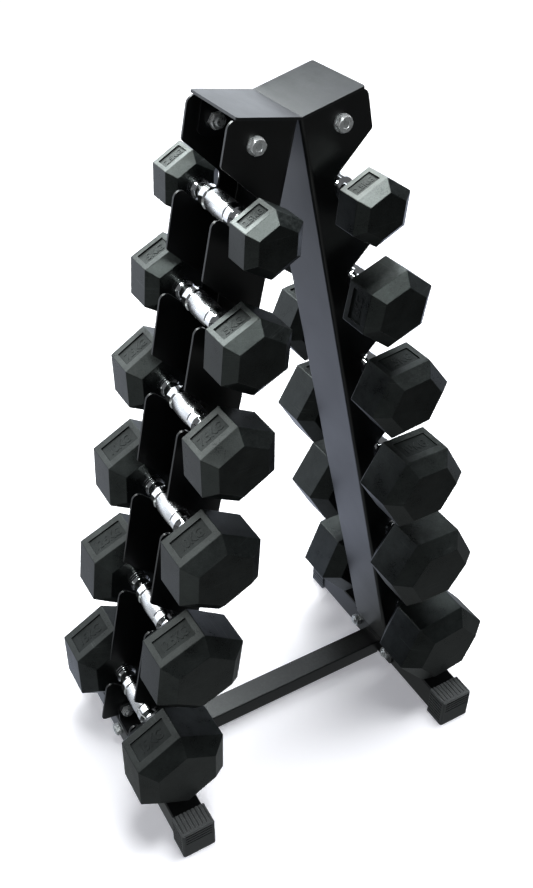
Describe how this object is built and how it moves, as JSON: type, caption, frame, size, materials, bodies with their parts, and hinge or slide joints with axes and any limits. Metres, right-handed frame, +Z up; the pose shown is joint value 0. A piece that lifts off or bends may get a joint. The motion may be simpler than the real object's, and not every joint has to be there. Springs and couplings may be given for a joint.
{
  "type": "dumbbell rack",
  "caption": "A-frame rack whose notched steel uprights cradle hex dumbbells by their handles, on two tube feet joined by a low crossbeam.",
  "frame": {"origin": "on the floor, midway between the feet and between the rack's front and back", "axes": "+X to the right as seen from the front, +Y from the front to the back along the handles, +Z up"},
  "size_m": [0.6039, 0.377, 1.02],
  "materials": {
    "frame_paint": "semi-gloss",
    "cap_paint": "semi-gloss",
    "end_cap_plastic": "matte",
    "zinc_plate": "bright",
    "handle_chrome": "polished",
    "head_rubber": "satin"
  },
  "bodies": {
    "rack": {"top_cap": "cap_paint", "left_upright": "frame_paint", "left_foot": "frame_paint", "left_foot_bracket": "frame_paint", "left_front_end_cap": "end_cap_plastic", "left_rear_end_cap": "end_cap_plastic", "right_upright": "frame_paint", "right_foot": "frame_paint", "right_foot_bracket": "frame_paint", "right_front_end_cap": "end_cap_plastic", "right_rear_end_cap": "end_cap_plastic", "crossbeam": "frame_paint", "beam_end_plates": "frame_paint", "cap_bolts": "zinc_plate", "cap_washers": "zinc_plate", "cap_nuts": "zinc_plate", "bracket_bolts": "zinc_plate", "bracket_washers": "zinc_plate", "bracket_nuts": "zinc_plate", "beam_bolts": "zinc_plate", "beam_washers": "zinc_plate", "beam_nuts": "zinc_plate"},
    "left_2p5kg_dumbbell": {"left_2p5kg_bar": "handle_chrome", "left_2p5kg_front_head": "head_rubber", "left_2p5kg_rear_head": "head_rubber"},
    "left_5kg_dumbbell": {"left_5kg_bar": "handle_chrome", "left_5kg_front_head": "head_rubber", "left_5kg_rear_head": "head_rubber"},
    "left_7p5kg_dumbbell": {"left_7p5kg_bar": "handle_chrome", "left_7p5kg_front_head": "head_rubber", "left_7p5kg_rear_head": "head_rubber"},
    "left_10kg_dumbbell": {"left_10kg_bar": "handle_chrome", "left_10kg_front_head": "head_rubber", "left_10kg_rear_head": "head_rubber"},
    "left_12p5kg_dumbbell": {"left_12p5kg_bar": "handle_chrome", "left_12p5kg_front_head": "head_rubber", "left_12p5kg_rear_head": "head_rubber"},
    "left_15kg_dumbbell": {"left_15kg_bar": "handle_chrome", "left_15kg_front_head": "head_rubber", "left_15kg_rear_head": "head_rubber"},
    "right_2p5kg_dumbbell": {"right_2p5kg_bar": "handle_chrome", "right_2p5kg_front_head": "head_rubber", "right_2p5kg_rear_head": "head_rubber"},
    "right_5kg_dumbbell": {"right_5kg_bar": "handle_chrome", "right_5kg_front_head": "head_rubber", "right_5kg_rear_head": "head_rubber"},
    "right_7p5kg_dumbbell": {"right_7p5kg_bar": "handle_chrome", "right_7p5kg_front_head": "head_rubber", "right_7p5kg_rear_head": "head_rubber"},
    "right_10kg_dumbbell": {"right_10kg_bar": "handle_chrome", "right_10kg_front_head": "head_rubber", "right_10kg_rear_head": "head_rubber"},
    "right_12p5kg_dumbbell": {"right_12p5kg_bar": "handle_chrome", "right_12p5kg_front_head": "head_rubber", "right_12p5kg_rear_head": "head_rubber"},
    "right_15kg_dumbbell": {"right_15kg_bar": "handle_chrome", "right_15kg_front_head": "head_rubber", "right_15kg_rear_head": "head_rubber"}
  },
  "joints": [
    {"name": "left_2p5kg_lift_off", "type": "slide", "parent": "rack", "child": "left_2p5kg_dumbbell", "axis": [-0.6578, 0, 0.7532], "range_m": [0, 0.07]},
    {"name": "left_5kg_lift_off", "type": "slide", "parent": "rack", "child": "left_5kg_dumbbell", "axis": [-0.6578, 0, 0.7532], "range_m": [0, 0.07]},
    {"name": "left_7p5kg_lift_off", "type": "slide", "parent": "rack", "child": "left_7p5kg_dumbbell", "axis": [-0.6578, 0, 0.7532], "range_m": [0, 0.07]},
    {"name": "left_10kg_lift_off", "type": "slide", "parent": "rack", "child": "left_10kg_dumbbell", "axis": [-0.6578, 0, 0.7532], "range_m": [0, 0.07]},
    {"name": "left_12p5kg_lift_off", "type": "slide", "parent": "rack", "child": "left_12p5kg_dumbbell", "axis": [-0.6578, 0, 0.7532], "range_m": [0, 0.07]},
    {"name": "left_15kg_lift_off", "type": "slide", "parent": "rack", "child": "left_15kg_dumbbell", "axis": [-0.6578, 0, 0.7532], "range_m": [0, 0.07]},
    {"name": "right_2p5kg_lift_off", "type": "slide", "parent": "rack", "child": "right_2p5kg_dumbbell", "axis": [0.6578, 0, 0.7532], "range_m": [0, 0.07]},
    {"name": "right_5kg_lift_off", "type": "slide", "parent": "rack", "child": "right_5kg_dumbbell", "axis": [0.6578, 0, 0.7532], "range_m": [0, 0.07]},
    {"name": "right_7p5kg_lift_off", "type": "slide", "parent": "rack", "child": "right_7p5kg_dumbbell", "axis": [0.6578, 0, 0.7532], "range_m": [0, 0.07]},
    {"name": "right_10kg_lift_off", "type": "slide", "parent": "rack", "child": "right_10kg_dumbbell", "axis": [0.6578, 0, 0.7532], "range_m": [0, 0.07]},
    {"name": "right_12p5kg_lift_off", "type": "slide", "parent": "rack", "child": "right_12p5kg_dumbbell", "axis": [0.6578, 0, 0.7532], "range_m": [0, 0.07]},
    {"name": "right_15kg_lift_off", "type": "slide", "parent": "rack", "child": "right_15kg_dumbbell", "axis": [0.6578, 0, 0.7532], "range_m": [0, 0.07]}
  ]
}
